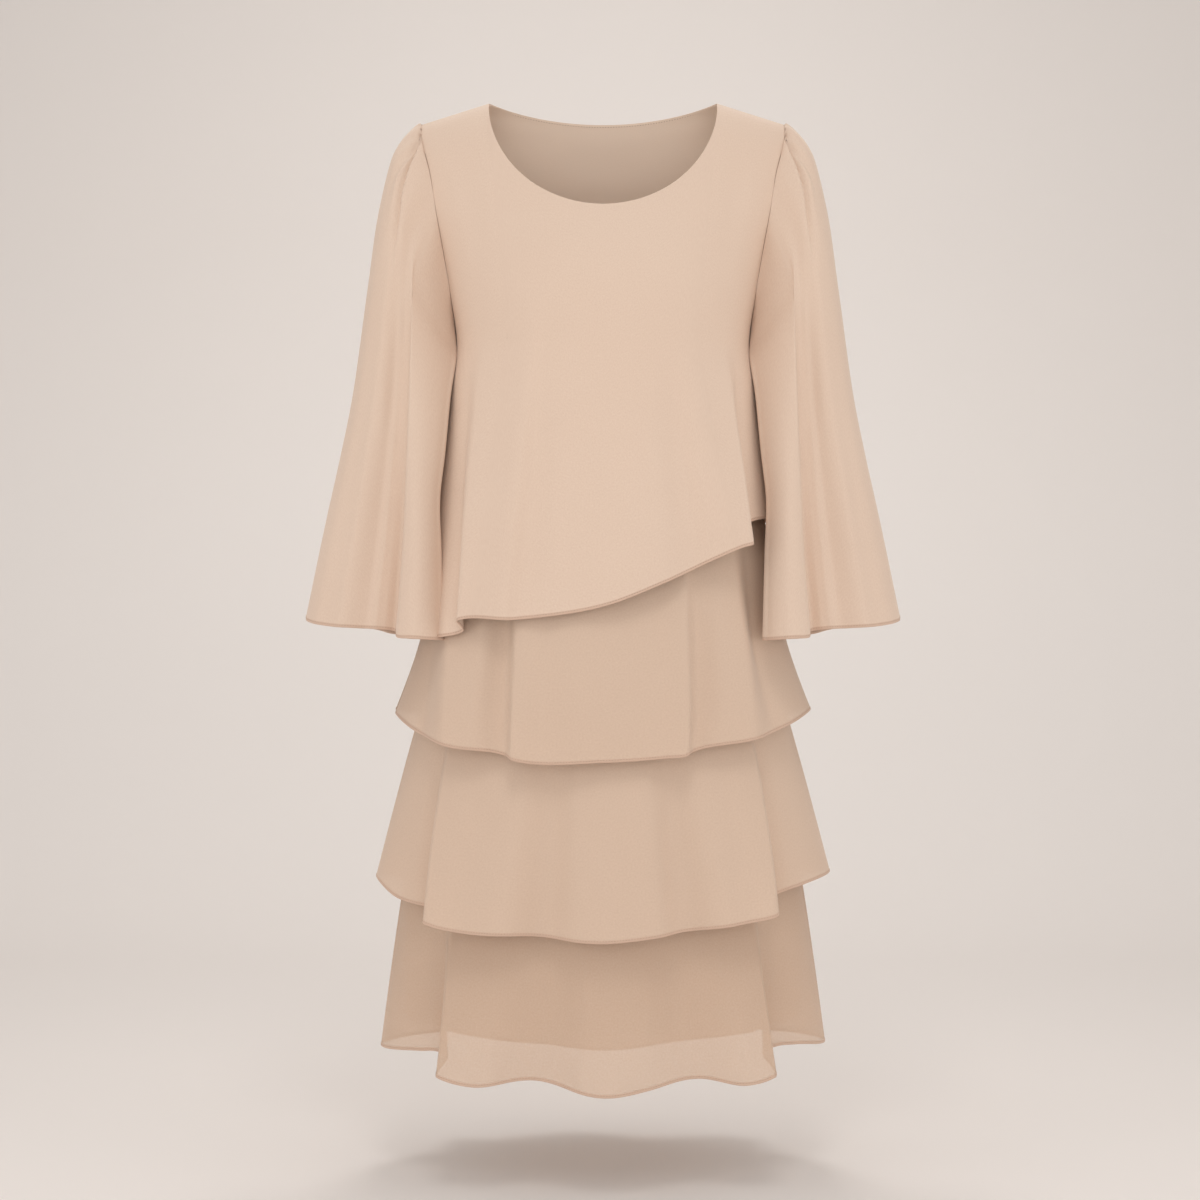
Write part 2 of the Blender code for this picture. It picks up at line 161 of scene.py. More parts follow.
def body_section(side, share, z, layer, inset):
    """How far across and out a bodice layer lies at height z: share is -1 to 1 between its edges."""
    x = share * course(layer.sides, -z, "edge")
    wrap = course(layer.sides, -z, "wrap") - inset
    seam = mix(NECK_HEIGHT, TIP_HEIGHT, np.maximum(np.abs(x) - NECK_HALF, 0) / (SHOULDER_TIP - NECK_HALF))
    drop = np.maximum(seam - SHOULDER_INSET * inset - z, 0)
    depth = course(layer.depths, drop, "front" if side == FRONT else "back")
    depth = np.maximum(depth - inset * smooth(drop / SHOULDER_ROUNDING), 0)
    power = course(layer.sides, -z, "power")
    plain_x = x * (1 - inset / wrap * smooth(drop / UNDERARM))
    plain_y = depth * np.maximum(1 - np.abs(x / wrap) ** power, 0) ** (1 / power)
    hem = course(layer.drape.hems, share, "below")
    grow = np.maximum((-z - UNDERARM) / (hem - UNDERARM), 0) ** layer.drape.grow
    x, y = folded(share, plain_x, plain_y, layer.drape, grow)
    return x, y + creased(share, -z, layer.drape.creases)


def bodice(side, turn, down, layer, inset=(0.0, 0.0), lower=0.0):
    """A bodice panel's outer face; down is 0 at the top edge, 1 at the underarm line and 2 at the hem."""
    x, top = top_edge(side, turn)
    share = x / course(layer.sides, -top, "edge")
    top = top - lower
    z = mix(top, -UNDERARM, np.minimum(down, 1))
    z = mix(z, -course(layer.drape.hems, share, "below"), np.maximum(down - 1, 0))
    x, y = body_section(side, share + 0 * z, z, layer, mix(*inset, smooth((top - z) / NECK_BAND)))
    return np.stack([x, side * np.maximum(y, SEAM / 2), z], axis=-1)


def run_of(points):
    """The length of cloth from a line's start to each of its points."""
    steps = np.linalg.norm(np.diff(points, axis=0), axis=-1)
    return np.concatenate([0 * steps[:1], np.cumsum(steps, axis=0)])


FINE_PLACES = 1601


def even_places(lines, start, end, count):
    """Places from start to end that share the length of these lines out evenly."""
    fine = np.linspace(start, end, FINE_PLACES)
    run = sum(run_of(line(fine)) for line in lines)
    return np.interp(np.linspace(0, run[-1], count + 1), run, fine)


# A cloth edge, from its very edge inwards: how far its two faces stand off the cloth's outer face, and
# how much of it is doubled by the turning.
Edge = namedtuple("Edge", "inward outer inner doubled")
SINGLE = Edge(0, 0.0, 0.6, 0)
CUT_EDGE = (Edge(0.0, -0.25, 0.45, 0), Edge(0.5, 0.0, 0.6, 0), Edge(2.0, 0.0, 0.6, 0))
NARROW_HEM = (
    Edge(0.0, -0.25, 0.35, 1), Edge(0.35, 0.15, 0.7, 1), Edge(1.4, 0.25, 0.8, 1), Edge(2.3, 0.1, 0.7, 1),
    Edge(3.1, 0.2, 0.75, 1), Edge(3.7, 0.0, 0.6, 0), Edge(5.0, 0.0, 0.6, 0),
)
STITCHED_EDGE, THREAD_LIFT = 3, 0.05  # the row of NARROW_HEM that is sewn, and the thread's stand off it
SHARP = 60  # degrees


def lay_rows(points, top, gap):
    """The cloth again with rows a gap apart down it and close ones at its edges, and each row's run."""
    run = run_of(points)
    whole = run[-1]
    start, end = top[-1].inward, NARROW_HEM[-1].inward
    count = max(int(whole.max() / gap), 4)
    places = [edge.inward + 0 * whole for edge in top]
    places += [mix(start, whole - end, i / count) for i in range(1, count)]
    places += [whole - edge.inward for edge in reversed(NARROW_HEM)]
    places = np.array(places)
    laid = np.empty(places.shape + (3,))
    for column in range(places.shape[1]):
        for axis in range(3):
            laid[:, column, axis] = np.interp(places[:, column], run[:, column], points[:, column, axis])
    return laid, places


def faces_out(points, ring):
    """The direction in which the cloth's outer face looks at each point."""
    if ring:
        across = np.roll(points, -1, axis=1) - np.roll(points, 1, axis=1)
    else:
        across = np.gradient(points, axis=1)
    normal = np.cross(np.gradient(points, axis=0), across)
    return normal / np.maximum(np.linalg.norm(normal, axis=-1, keepdims=True), 1e-9)


def sew(name, points, material, gap, top=CUT_EDGE, side=0, ring=False):
    """A thin closed wall of cloth whose rows run down and whose columns run left to right from outside.
    Returns the piece, and the lines on its two faces that its hem is stitched along."""
    laid, places = lay_rows(points, top, gap)
    rows, columns = places.shape
    normal = faces_out(laid, ring)
    middle = rows - len(top) - len(NARROW_HEM)
    edges = list(top) + [SINGLE] * middle + list(reversed(NARROW_HEM))
    outer = laid + normal * np.array([edge.outer for edge in edges])[:, None, None]
    inner = laid - normal * np.array([edge.inner for edge in edges])[:, None, None]
    if side:
        outer[..., 1] = side * np.maximum(side * outer[..., 1], SEAM / 2)
        inner[..., 1] = side * np.maximum(side * inner[..., 1], SEAM / 2)

    last = columns if ring else columns - 1
    grids = np.meshgrid(np.arange(rows - 1), np.arange(last), indexing="ij")
    row, column = (grid.ravel() for grid in grids)
    outside = [(row, column, 0), (row + 1, column, 0), (row + 1, column + 1, 0), (row, column + 1, 0)]
    inside = [(row, column, 1), (row, column + 1, 1), (row + 1, column + 1, 1), (row + 1, column, 1)]
    across, down = np.arange(last), np.arange(rows - 1)
    foot = rows - 1
    rims = [
        [(0, across, 0), (0, across + 1, 0), (0, across + 1, 1), (0, across, 1)],
        [(foot, across, 0), (foot, across, 1), (foot, across + 1, 1), (foot, across + 1, 0)],
    ]
    if not ring:
        rims += [
            [(down, 0, 0), (down, 0, 1), (down + 1, 0, 1), (down + 1, 0, 0)],
            [(down, last, 0), (down + 1, last, 0), (down + 1, last, 1), (down, last, 1)],
        ]
    faces = []
    for group in [outside, inside] + rims:
        size = max(np.size(part) for corner in group for part in corner)
        filled = [np.stack([part + np.zeros(size, int) for part in corner], -1) for corner in group]
        faces.append(np.stack(filled, 1))
    corners = np.concatenate(faces)
    at_row, at_column, layer = corners[..., 0], corners[..., 1], corners[..., 2]
    index = (layer * rows + at_row) * columns + at_column % columns
    closed = np.concatenate([laid[-1], laid[-1][:1]])
    width = run_of(closed if ring else laid[-1])
    mesh = bpy.data.meshes.new(name)
    mesh.from_pydata(np.concatenate([outer, inner]).reshape(-1, 3) * MM, [], index)
    place = np.stack([width[at_column], places[at_row, at_column % columns]], -1) * MM
    mesh.uv_layers.new(name="cloth").data.foreach_set("uv", place.astype(np.float32).ravel())
    doubled = np.tile(np.repeat([float(edge.doubled) for edge in edges], columns), 2)
    mesh.attributes.new("doubled", "FLOAT", "POINT").data.foreach_set("value", doubled.astype(np.float32))
    mesh.shade_smooth()
    mesh.set_sharp_from_angle(angle=math.radians(SHARP))
    mesh.materials.append(material)
    piece = bpy.data.objects.new(name, mesh)
    bpy.context.scene.collection.objects.link(piece)
    sewn = rows - 1 - STITCHED_EDGE
    lines = [outer[sewn] + normal[sewn] * THREAD_LIFT, inner[sewn] - normal[sewn] * THREAD_LIFT]
    if ring:
        lines = [np.concatenate([line, line[:1]]) for line in lines]
    return piece, lines


class Dye:
    """A value in a cloth's finish. Plain arithmetic on it adds the nodes."""

    def __init__(self, tree, socket=None):
        self.tree = tree
        self.socket = socket

    def node(self, kind, settings, values, result=0):
        """Any other node: its settings first, then the values or links of its sockets."""
        made = self.tree.nodes.new(kind)
        for name, value in settings.items():
            setattr(made, name, value)
        for name, value in values.items():
            if isinstance(value, Dye):
                self.tree.links.new(value.socket, made.inputs[name])
            else:
                made.inputs[name].default_value = value
        return Dye(self.tree, made.outputs[result])

    def maths(self, operation, first, second):
        return self.node("ShaderNodeMath", {"operation": operation}, {0: first, 1: second})

    def __add__(self, other):
        return self.maths("ADD", self, other)

    def __sub__(self, other):
        return self.maths("SUBTRACT", self, other)

    def __rsub__(self, other):
        return self.maths("SUBTRACT", other, self)

    def __mul__(self, other):
        return self.maths("MULTIPLY", self, other)

    __radd__ = __add__
    __rmul__ = __mul__


def blend(dye, share, plain, other):
    """One colour turning into another."""
    plain = (*plain, 1) if isinstance(plain, tuple) else plain
    return dye.node("ShaderNodeMix", {"data_type": "RGBA"}, {0: share, 6: plain, 7: (*other, 1)}, 2)


SLUBS = 260  # changes along a metre of yarn


def weave(dye, yarn, grain):
    """The cloth's face: yarns along and across it, and the pebbled grain of crepe over them."""
    place = dye.node("ShaderNodeUVMap", {"uv_map": "cloth"}, {})
    yarns = []
    for scale in ((SLUBS, 1.0 / yarn, 1), (1.0 / yarn, SLUBS, 1)):
        stretched = dye.node("ShaderNodeMapping", {}, {"Vector": place, "Scale": scale})
        yarns.append(dye.node("ShaderNodeTexNoise", {}, {"Vector": stretched, "Scale": 1.0, "Detail": 1.0}))
    pebbles = dye.node("ShaderNodeTexNoise", {}, {"Vector": place, "Scale": 1.0 / grain, "Detail": 2.0})
    return (yarns[0] + yarns[1]) * 0.5, pebbles


def finish_cloth(name, colour, shade, hem_colour, cover, yarn, grain, roughness, sheen, relief):
    """A cloth's material. cover is how much of what lies behind one face of it hides."""
    material = bpy.data.materials.new(name)
    material.use_nodes = True
    tree = material.node_tree
    shader = tree.nodes["Principled BSDF"]
    dye = Dye(tree)
    threads, pebbles = weave(dye, yarn, grain)
    place = dye.node("ShaderNodeTexCoord", {}, {}, "Object")
    cloudy = dye.node("ShaderNodeTexNoise", {}, {"Vector": place, "Scale": 7.0, "Detail": 2.0})
    worn = blend(dye, cloudy * 0.5 + threads * 0.6 + pebbles * 1.8 - 1.0, colour, shade)
    doubled = dye.node("ShaderNodeAttribute", {"attribute_name": "doubled"}, {}, "Fac")
    tree.links.new(blend(dye, doubled, worn, hem_colour).socket, shader.inputs["Base Color"])
    tree.links.new((threads * 0.12 + (roughness - 0.06)).socket, shader.inputs["Roughness"])
    shader.inputs["Specular IOR Level"].default_value = 0.25
    shader.inputs["Sheen Weight"].default_value = sheen
    shader.inputs["Sheen Roughness"].default_value = 0.45
    shader.inputs["Sheen Tint"].default_value = (1.0, 0.92, 0.84, 1.0)
    height = threads * 0.5 + pebbles * 0.8
    raised = dye.node("ShaderNodeBump", {}, {"Height": height, "Strength": relief, "Distance": 0.0004})
    tree.links.new(raised.socket, shader.inputs["Normal"])
    if cover < 1:
        tree.links.new((doubled * (0.92 - cover) + cover).socket, shader.inputs["Alpha"])
    return material


# The lining's colour is partly its own and partly painted light: it is made lighter so that the slip looks
# bright where shade falls on it, inside the neck and behind the sheer tier.
LINING = finish_cloth(
    "lining", (0.93, 0.765, 0.63), (0.89, 0.72, 0.585), (0.82, 0.64, 0.51), cover=1.0, yarn=0.0004,
    grain=0.0011, roughness=0.7, sheen=0.15, relief=0.12)
BODICE_ROWS = 90


def panel(name, side, layer, material, count, gap, inset=(0.0, 0.0), lower=0.0):
    """Sews one side of the slip or the overlay."""
    lines = [
        lambda turn: bodice(side, turn, 0.0 * turn, layer, inset, lower),
        lambda turn: bodice(side, turn, 2.0 + 0.0 * turn, layer, inset, lower),
    ]
    turns = even_places(lines, -2.0, 2.0, count)
    if side == BACK:
        turns = turns[::-1]
    downs = np.concatenate([np.linspace(0, 1, BODICE_ROWS) ** 1.5, np.linspace(1, 2, BODICE_ROWS)[1:]])
    points = bodice(side, turns[None, :], downs[:, None], layer, inset, lower)
    return sew(name, points, material, gap, side=side)


for end, side in (("front", FRONT), ("back", BACK)):
    piece, lines = panel(f"slip_{end}_cloth", side, SLIP, LINING, SLIP_COLUMNS, SLIP_ROWS_APART,
                         (SLIP_NECK_INSET, SLIP_INSET), SLIP_DROP)
    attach(piece, "root")
    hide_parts(f"slip_{end}")

# Each tier is a flared ruffle of crepe chiffon, cut as a front and a back, sewn to the slip along its top
# edge and finished with a narrow hem. The lowest one is sheer where it hangs below the slip.

TIER_STAND = 2.5
TIER_PUFF = 12.2  # makes a tier's puff the most, in millimetres, that its sides bulge out
TIER_ROWS_APART, TIER_ROWS, TIER_COLUMNS = 6.0, 120, 190
Tier = namedtuple("Tier", "top half deep power flare puff drape")
TIERS = {
    "tier_1_front": Tier(395, 215, 140, 2.0, 1.36, 15, Drape(
        1.3, 152, Corner(0.79, 172, 112, 0.07, 0.17, 0), Corner(0.75, 161, 110, 0.06, 0.02, 1),
        (Hem(-1, 620), Hem(-0.9, 634), Hem(-0.72, 648), Hem(-0.44, 656.5), Hem(-0.41, 660), Hem(0, 662),
         Hem(0.3, 658), Hem(0.38, 656), Hem(0.41, 652.5), Hem(0.72, 641), Hem(0.88, 629), Hem(1, 616)),
        (Wave(-0.44, 0.16, 6), Wave(-0.1, 0.2, 3), Wave(0.42, 0.16, 7)),
        (Crease(-0.515, 0.143, 0.022, 0.2, 400, 760, 4), Crease(-0.55, 0.143, 0.16, 0.036, 400, 760, -13),
         Crease(0.465, -0.12, 0.2, 0.022, 420, 760, 4), Crease(0.5, -0.12, 0.034, 0.15, 420, 760, -11)))),
    "tier_1_back": Tier(395, 215, 128, 2.0, 1.36, 15, Drape(
        1.3, 138, Corner(0.76, 162, 100, 0.04, 0.1, 3), Corner(0.76, 162, 100, 0.04, 0.1, 3),
        (Hem(-1, 617), Hem(-0.7, 640), Hem(0, 656), Hem(0.7, 640), Hem(1, 616)),
        (Wave(-0.4, 0.2, 7), Wave(0.1, 0.22, -5), Wave(0.5, 0.2, 6)),
        (Crease(-0.4, 0.08, 0.015, 0.2, 410, 760, 5), Crease(-0.42, 0.08, 0.17, 0.018, 410, 760, -12),
         Crease(0.37, -0.06, 0.02, 0.16, 430, 760, -11)))),
    "tier_2_front": Tier(576, 235, 142, 1.8, 0.92, 0, Drape(
        1.5, 164, Corner(0.72, 184, 134, 0.035, 0.08, 6), Corner(0.71, 179, 136, 0.035, 0.05, 6),
        (Hem(-1, 789), Hem(-0.9, 804), Hem(-0.76, 812), Hem(-0.7, 820), Hem(-0.6, 827), Hem(-0.3, 831),
         Hem(0, 836), Hem(0.3, 828), Hem(0.55, 820), Hem(0.7, 811), Hem(0.77, 797), Hem(0.86, 791),
         Hem(1, 784)),
        (Wave(-0.46, 0.16, 4), Wave(-0.24, 0.16, -9), Wave(0.02, 0.2, 6), Wave(0.36, 0.16, -9)),
        (Crease(-0.24, 0.03, 0.16, 0.11, 580, 880, -6), Crease(0.17, 0.03, 0.14, 0.12, 600, 900, 4),
         Crease(0.29, 0.02, 0.09, 0.13, 600, 900, -6), Crease(-0.52, -0.02, 0.12, 0.14, 640, 900, -3),
         Crease(0.56, 0.02, 0.12, 0.1, 640, 900, -3)))),
    "tier_2_back": Tier(576, 235, 136, 1.8, 0.92, 0, Drape(
        1.5, 152, Corner(0.72, 174, 122, 0.04, 0.06, 5), Corner(0.72, 174, 122, 0.04, 0.06, 5),
        (Hem(-1, 789), Hem(-0.7, 812), Hem(0, 830), Hem(0.7, 808), Hem(1, 784)),
        (Wave(-0.5, 0.16, -7), Wave(-0.2, 0.2, 8), Wave(0.25, 0.2, -8), Wave(0.55, 0.16, 6)),
        (Crease(-0.34, 0.02, 0.13, 0.09, 600, 900, -6), Crease(0.12, 0.03, 0.1, 0.14, 600, 900, -6)))),
    "tier_3_front": Tier(752, 230, 139, 1.75, 0.85, 0, Drape(
        1.6, 166, Corner(0.66, 170, 148, 0.03, 0.07, 3), Corner(0.68, 176, 148, 0.03, 0.03, 3),
        (Hem(-1, 964), Hem(-0.8, 957), Hem(-0.71, 956), Hem(-0.64, 968), Hem(-0.5, 976), Hem(-0.27, 972),
         Hem(0, 984), Hem(0.36, 971), Hem(0.54, 975), Hem(0.66, 967), Hem(0.73, 953), Hem(0.84, 952),
         Hem(1, 960)),
        (Wave(-0.5, 0.16, 5), Wave(-0.27, 0.2, -15), Wave(0.02, 0.2, 9), Wave(0.36, 0.2, -15),
         Wave(0.55, 0.15, 4)),
        (Crease(-0.2, 0.02, 0.14, 0.12, 780, 1040, -4), Crease(0.27, 0.03, 0.12, 0.14, 780, 1040, -4)))),
    "tier_3_back": Tier(752, 230, 135, 1.75, 0.85, 0, Drape(
        1.6, 158, Corner(0.68, 166, 134, 0.035, 0.05, 3), Corner(0.68, 168, 134, 0.035, 0.05, 3),
        (Hem(-1, 964), Hem(-0.6, 966), Hem(0, 974), Hem(0.6, 965), Hem(1, 960)),
        (Wave(-0.46, 0.16, -12), Wave(-0.14, 0.21, 8), Wave(0.2, 0.2, -13), Wave(0.5, 0.16, 6)),
        (Crease(-0.3, 0.02, 0.14, 0.1, 780, 1040, -4), Crease(0.34, 0.03, 0.1, 0.14, 780, 1040, -4)))),
}
CREPE = dict(yarn=0.0005, grain=0.0019, roughness=0.8, sheen=0.3, relief=0.45)
# The tiers' crepe chiffon is lighter than the same crepe on the overlay. Part of this is the tiers' own
# colour and part is painted light: the lighter colour makes up for the shade that falls on the tiers lower
# down and behind their see-through layers.
PALE_BEIGE, PALE_SHADE, PALE_HEM = (0.785, 0.605, 0.475), (0.725, 0.54, 0.415), (0.66, 0.47, 0.36)
CHIFFON = finish_cloth("crepe chiffon", PALE_BEIGE, PALE_SHADE, PALE_HEM, cover=0.8, **CREPE)
SHEER_CHIFFON = finish_cloth(
    "sheer crepe chiffon", (0.77, 0.585, 0.45), (0.71, 0.52, 0.39), PALE_HEM, cover=0.58, **CREPE)


def ruffle(side, turn, down, tier):
    """A tier's outer face: turn is -1 at the left side seam and 1 at the right, down is 1 at the hem."""
    angle = turn * math.pi / 2
    round_off = np.maximum(np.cos(angle), 0) ** (2 / tier.power)
    share = np.sign(turn) * np.abs(np.sin(angle)) ** (2 / tier.power)
    seat_x, seat_y = body_section(side, share, -tier.top + 0 * share, SLIP, SLIP_INSET)
    stand = TIER_STAND / np.hypot(share, round_off)
    seat_x, seat_y = seat_x + share * stand, seat_y + round_off * stand
    x = mix(seat_x, tier.half * share, down ** tier.flare)
    x = x + TIER_PUFF * tier.puff * share * down * (1 - down) ** 4
    y = mix(seat_y, tier.deep * round_off, down)
    x, y = folded(share, x, y, tier.drape, down ** tier.drape.grow)
    z = mix(-tier.top, -course(tier.drape.hems, share, "below"), down)
    y = y + creased(share + 0 * z, -z, tier.drape.creases)
    return np.stack([x + 0 * z, side * np.maximum(y, SEAM / 2), z + 0 * x], axis=-1)


# The hems' stitches are a twisted sewing thread a little darker than the cloth. One machine row runs round
# each hem, 2.3 mm in from its edge, and shows as short stitches on both faces of the cloth.

STITCH_PITCH, STITCH_LENGTH, STITCH_WIDTH = 0.0028, 0.0018, 0.0007  # metres from here on
thread = bpy.data.materials.new("sewing thread")
thread.use_nodes = True
thread_dye = Dye(thread.node_tree)
thread_place = thread_dye.node("ShaderNodeTexCoord", {}, {}, "Object")
twist = thread_dye.node("ShaderNodeTexNoise", {}, {"Vector": thread_place, "Scale": 900.0})
thread_shader = thread.node_tree.nodes["Principled BSDF"]
thread_colour = blend(thread_dye, twist, (0.56, 0.40, 0.30), (0.44, 0.30, 0.22))
thread.node_tree.links.new(thread_colour.socket, thread_shader.inputs["Base Color"])
thread_shader.inputs["Roughness"].default_value = 0.6


def stitch_tree():
    """Lays a short rounded stitch at every pitch along each line."""
    tree = bpy.data.node_groups.new("stitches", "GeometryNodeTree")
    tree.interface.new_socket("Geometry", in_out="INPUT", socket_type="NodeSocketGeometry")
    sizes = (("Pitch", STITCH_PITCH), ("Stitch length", STITCH_LENGTH), ("Stitch width", STITCH_WIDTH))
    for name, size in sizes:
        socket = tree.interface.new_socket(name, in_out="INPUT", socket_type="NodeSocketFloat")
        socket.default_value = size
    tree.interface.new_socket("Thread", in_out="INPUT", socket_type="NodeSocketMaterial")
    tree.interface.new_socket("Geometry", in_out="OUTPUT", socket_type="NodeSocketGeometry")
    new, link = tree.nodes.new, tree.links.new
    given = new("NodeGroupInput")
    points = new("GeometryNodeCurveToPoints")
    points.mode = "LENGTH"
    link(given.outputs["Geometry"], points.inputs["Curve"])
    link(given.outputs["Pitch"], points.inputs["Length"])
    lie = new("FunctionNodeAlignRotationToVector")
    lie.axis = "Z"
    link(points.outputs["Tangent"], lie.inputs["Vector"])
    bead = new("GeometryNodeMeshUVSphere")
    bead.inputs["Segments"].default_value = 6
    bead.inputs["Rings"].default_value = 4
    bead.inputs["Radius"].default_value = 0.5
    scale = new("ShaderNodeCombineXYZ")
    link(given.outputs["Stitch width"], scale.inputs["X"])
    link(given.outputs["Stitch width"], scale.inputs["Y"])
    link(given.outputs["Stitch length"], scale.inputs["Z"])
    laid = new("GeometryNodeInstanceOnPoints")
    link(points.outputs["Points"], laid.inputs["Points"])
    link(bead.outputs["Mesh"], laid.inputs["Instance"])
    link(lie.outputs["Rotation"], laid.inputs["Rotation"])
    link(scale.outputs["Vector"], laid.inputs["Scale"])
    real = new("GeometryNodeRealizeInstances")
    link(laid.outputs["Instances"], real.inputs["Geometry"])
    coloured = new("GeometryNodeSetMaterial")
    link(real.outputs["Geometry"], coloured.inputs["Geometry"])
    link(given.outputs["Thread"], coloured.inputs["Material"])
    result = new("NodeGroupOutput")
    link(coloured.outputs["Geometry"], result.inputs["Geometry"])
    return tree


STITCHES = stitch_tree()


def stitch(name, lines):
    """Sews rows of stitches along these lines and makes them one plain mesh."""
    curve = bpy.data.curves.new(name + "_line", "CURVE")
    curve.dimensions = "3D"
    for line in lines:
        spline = curve.splines.new("POLY")
        spline.points.add(len(line) - 1)
        spline.points.foreach_set("co", np.insert(line * MM, 3, 1.0, axis=1).ravel())
    sewn = bpy.data.objects.new(name + "_line", curve)
    bpy.context.scene.collection.objects.link(sewn)
    rows = sewn.modifiers.new("stitches", "NODES")
    rows.node_group = STITCHES
    for item in STITCHES.interface.items_tree:
        if item.name == "Thread":
            rows[item.identifier] = thread
    graph = bpy.context.evaluated_depsgraph_get()
    mesh = bpy.data.meshes.new_from_object(sewn.evaluated_get(graph))
    mesh.name = name
    mesh.shade_smooth()
    bpy.data.objects.remove(sewn)
    piece = bpy.data.objects.new(name, mesh)
    bpy.context.scene.collection.objects.link(piece)
    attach(piece, "root")
    return piece


for name, tier in TIERS.items():
    side = FRONT if name.endswith("front") else BACK
    turns = even_places([lambda turn: ruffle(side, turn, 1.0 + 0 * turn, tier)], -1.0, 1.0, TIER_COLUMNS)
    if side == BACK:
        turns = turns[::-1]
    cloth, slot = (SHEER_CHIFFON, "sheer_chiffon") if name.startswith("tier_3") else (CHIFFON, "chiffon")
    points = ruffle(side, turns[None, :], np.linspace(0, 1, TIER_ROWS)[:, None], tier)
    piece, lines = sew(name + "_cloth", points, cloth, TIER_ROWS_APART, side=side)
    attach(piece, "root")
    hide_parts(name)
    stitches = stitch(name + "_stitches", lines)

# The overlay is the outer bodice: a loose front and back of crepe chiffon over the slip, sewn in with it at
# the neck, shoulders and armholes. Its hem slants from the left hip up to the right waist.

OVERLAY_ROWS_APART, OVERLAY_COLUMNS = 6.0, 210
OVERLAY_SIDE = YOKE_SIDE + (
    Side(280, 157.5, 157.5, 2.3), Side(317, 161.5, 161.5, 2.3), Side(381, 171.5, 171.5, 2.3),
    Side(430, 178.5, 178.5, 2.4), Side(541, 193.5, 193.5, 2.8),
)
OVERLAYS = {
    FRONT: Layer(OVERLAY_SIDE, OVERLAY_DEPTH, Drape(
        1.3, 142, Corner(0.71, 152, 122, 0.045, 0.12, 6), Corner(0.73, 157, 112, 0.04, 0.1, 4),
        (Hem(-1, 541), Hem(-0.79, 538.5), Hem(-0.74, 533), Hem(-0.7, 526), Hem(-0.4, 523), Hem(0, 510),
         Hem(0.28, 487), Hem(0.5, 465), Hem(0.64, 452), Hem(0.72, 446), Hem(0.79, 430), Hem(1, 419)),
        (Wave(-0.4, 0.26, 5), Wave(0.1, 0.32, 6), Wave(0.5, 0.22, -4)),
        (Crease(-0.37, 0.0, 0.1, 0.14, 200, 640, -4.5), Crease(-0.49, 0.0, 0.11, 0.1, 150, 640, 2.5),
         Crease(0.42, 0.0, 0.14, 0.1, 220, 600, -4.5), Crease(0.58, 0.02, 0.11, 0.12, 200, 560, 2.5),
         Crease(-0.8, 0.05, 0.12, 0.14, 20, 150, -1.5), Crease(0.8, -0.05, 0.14, 0.12, 20, 150, -1.5),
         Crease(-0.86, 0.2, 0.2, 0.18, 90, 360, -1.3), Crease(0.86, -0.2, 0.18, 0.2, 90, 350, -1.3)))),
    BACK: Layer(OVERLAY_SIDE, OVERLAY_DEPTH, Drape(
        1.3, 124, Corner(0.7, 142, 108, 0.05, 0.08, 6), Corner(0.7, 144, 98, 0.05, 0.08, 6),
        (Hem(-1, 541), Hem(-0.5, 532), Hem(0, 505), Hem(0.5, 466), Hem(1, 419)),
        (Wave(-0.35, 0.29, 5), Wave(0.3, 0.29, 5)),
        (Crease(-0.42, 0.0, 0.06, 0.13, 190, 640, -4), Crease(0.36, 0.0, 0.12, 0.06, 180, 620, -4),
         Crease(-0.05, 0.03, 0.1, 0.08, 250, 640, -3), Crease(-0.8, 0.2, 0.12, 0.09, 100, 330, -1.3),
         Crease(0.8, -0.2, 0.09, 0.12, 100, 330, -1.3)))),
}
BEIGE, BEIGE_SHADE, BEIGE_HEM = (0.75, 0.59, 0.475), (0.69, 0.52, 0.41), (0.64, 0.46, 0.355)
LINED_CHIFFON = finish_cloth("lined crepe chiffon", BEIGE, BEIGE_SHADE, BEIGE_HEM, cover=1.0, **CREPE)
for end, side in (("front", FRONT), ("back", BACK)):
    piece, lines = panel(
        f"overlay_{end}_cloth", side, OVERLAYS[side], LINED_CHIFFON, OVERLAY_COLUMNS, OVERLAY_ROWS_APART)
    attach(piece, "root")
    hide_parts(f"overlay_{end}")
    stitches = stitch(f"overlay_{end}_stitches", lines)

# The back neck is understitched: one row of small machine stitches in the same thread, just under the edge
# on the lining's side, which holds the two layers together and keeps the lining from rolling out.

NECK_ROW, NECK_ROW_END, NECK_ROW_PLACES = 1.6, 0.985, 161
NECK_THREAD_IN = 0.75  # from the slip's outer face to the thread on its inner one
turns = np.linspace(-NECK_ROW_END, NECK_ROW_END, NECK_ROW_PLACES)
x, top = top_edge(BACK, turns)
share = x / course(SLIP.sides, -top, "edge")
row_z = top - SLIP_DROP - NECK_ROW
row_x, row_y = body_section(BACK, share, row_z, SLIP, SLIP_NECK_INSET)
neck_line = np.stack([row_x, row_y - NECK_THREAD_IN, row_z], axis=-1)
stitch("back_neck_stitches", [neck_line])

# The sleeves are three-quarter length and flared: one piece of crepe chiffon each, gathered into the top of
# the armhole, closed by an underarm seam and finished with the same narrow hem. They hang unlined.

